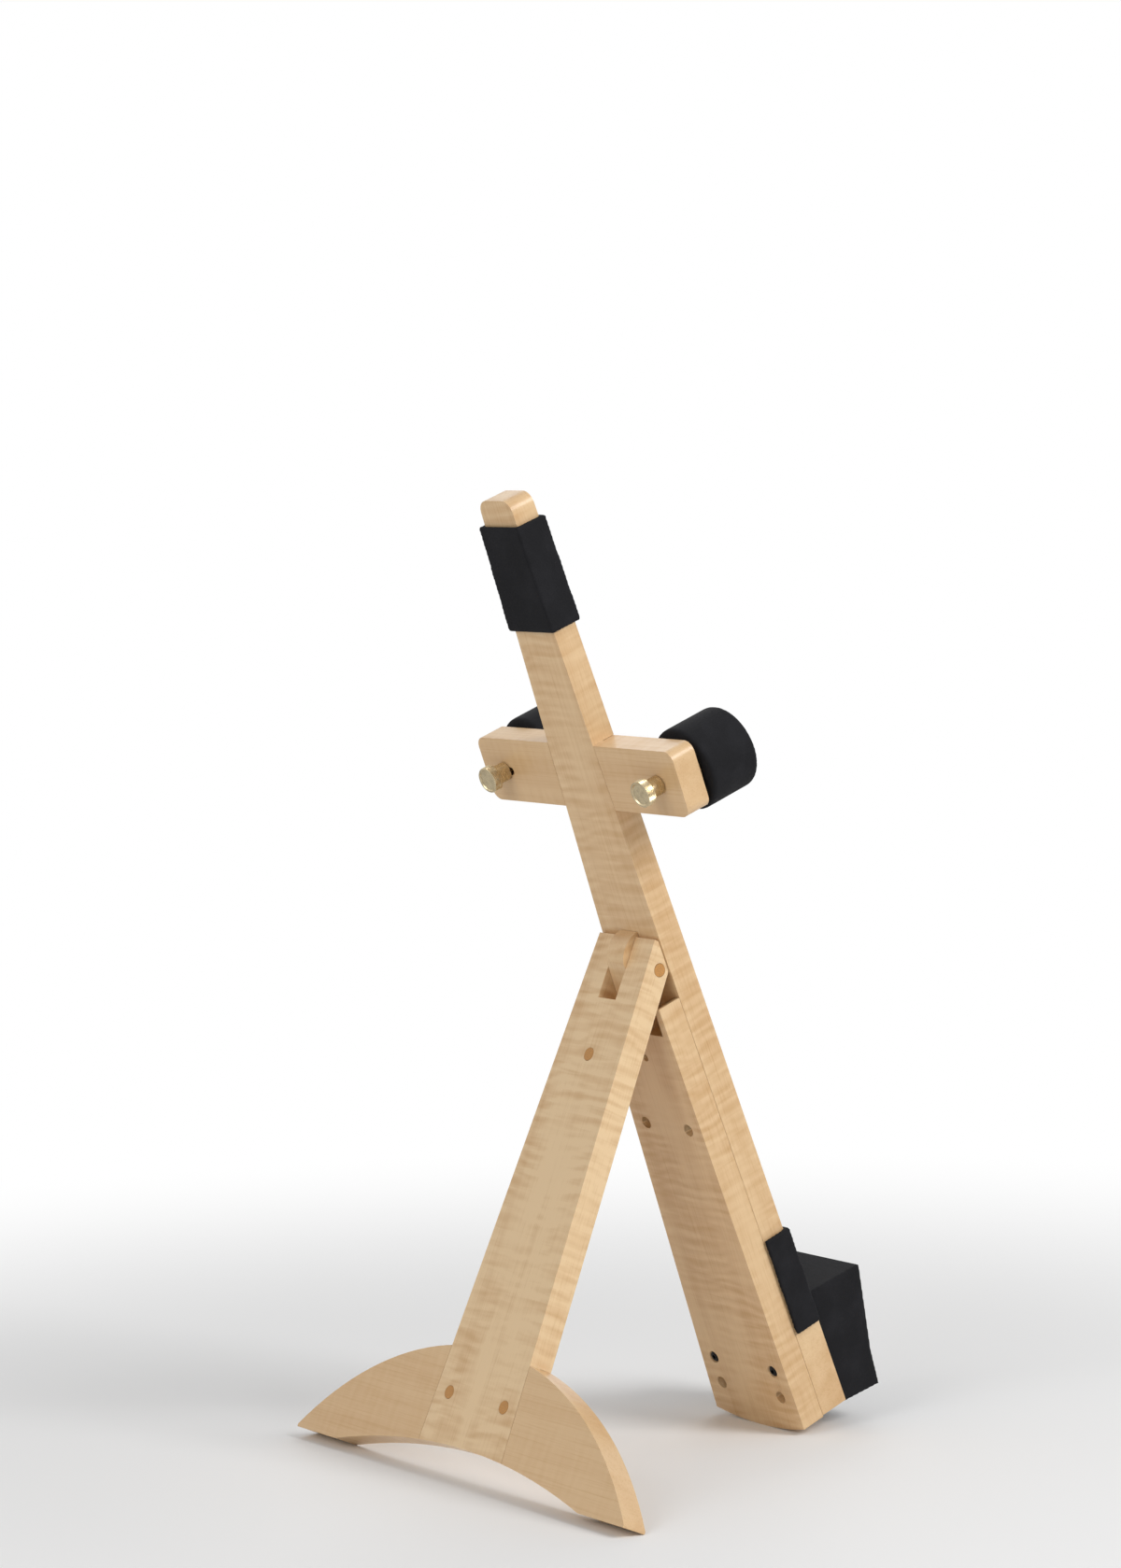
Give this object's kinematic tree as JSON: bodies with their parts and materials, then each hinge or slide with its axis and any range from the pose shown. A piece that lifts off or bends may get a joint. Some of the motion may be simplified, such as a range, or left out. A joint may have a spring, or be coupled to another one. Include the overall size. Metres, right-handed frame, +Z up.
{
  "type": "dulcimer stand",
  "caption": "Reclining wooden floor stand for a dulcimer, with a padded shelf, foam sleeves, adjustable side pads on a cross arm and a hinged back leg on an arched foot.",
  "frame": {"origin": "middle of the bounding box on the floor", "axes": "+Z up, +Y from the padded front towards the back leg, +X across the stand"},
  "size_m": [0.383, 0.359, 0.691],
  "materials": {
    "maple": "satin clear finish on curly maple",
    "walnut": "satin, end grain",
    "foam": "matte black foam",
    "brass": "polished, knurled rim",
    "black_steel": "black oxide"
  },
  "bodies": {
    "stand": {"spine": "maple", "cross_arm": "maple", "backing_board": "maple", "shelf_block": "maple", "ledge_core": "maple", "ledge_cover": "foam", "upper_sleeve": "foam", "lower_sleeve": "foam", "ledge_insert_left": "brass", "ledge_insert_right": "brass", "board_screw_left": "black_steel", "board_screw_right": "black_steel", "block_screw_left": "black_steel", "block_screw_right": "black_steel", "ledge_bolt_left": "black_steel", "ledge_bolt_right": "black_steel"},
    "back_leg": {"leg": "maple", "foot": "maple", "hinge_pin": "walnut", "leg_plug": "walnut", "foot_plug_left": "walnut", "foot_plug_right": "walnut", "foot_screw_left": "black_steel", "foot_screw_right": "black_steel"},
    "pad_left": {"pad_post_left": "maple", "pad_insert_left": "brass", "pad_foam_left": "foam"},
    "pad_right": {"pad_post_right": "maple", "pad_insert_right": "brass", "pad_foam_right": "foam"},
    "knob_left": {"thumbscrew_left": "brass"},
    "knob_right": {"thumbscrew_right": "brass"}
  },
  "joints": [
    {"name": "leg_swing", "type": "hinge", "parent": "stand", "child": "back_leg", "pos_m": [0, 0.01453, 0.3503], "axis": [1, 0, 0], "range_deg": [-1.3, 0]},
    {"name": "pad_left_slide", "type": "slide", "parent": "stand", "child": "pad_left", "axis": [-1, 0, 0], "range_m": [0, 0.0065]},
    {"name": "pad_right_slide", "type": "slide", "parent": "stand", "child": "pad_right", "axis": [1, 0, 0], "range_m": [0, 0.0065]},
    {"name": "knob_left_turn", "type": "hinge", "parent": "pad_left", "child": "knob_left", "pos_m": [0.0877, 0.05811, 0.48807], "axis": [0, 0.9363, -0.3513], "continuous": true},
    {"name": "knob_right_turn", "type": "hinge", "parent": "pad_right", "child": "knob_right", "pos_m": [-0.0877, 0.05811, 0.48807], "axis": [0, 0.9363, -0.3513], "continuous": true}
  ]
}
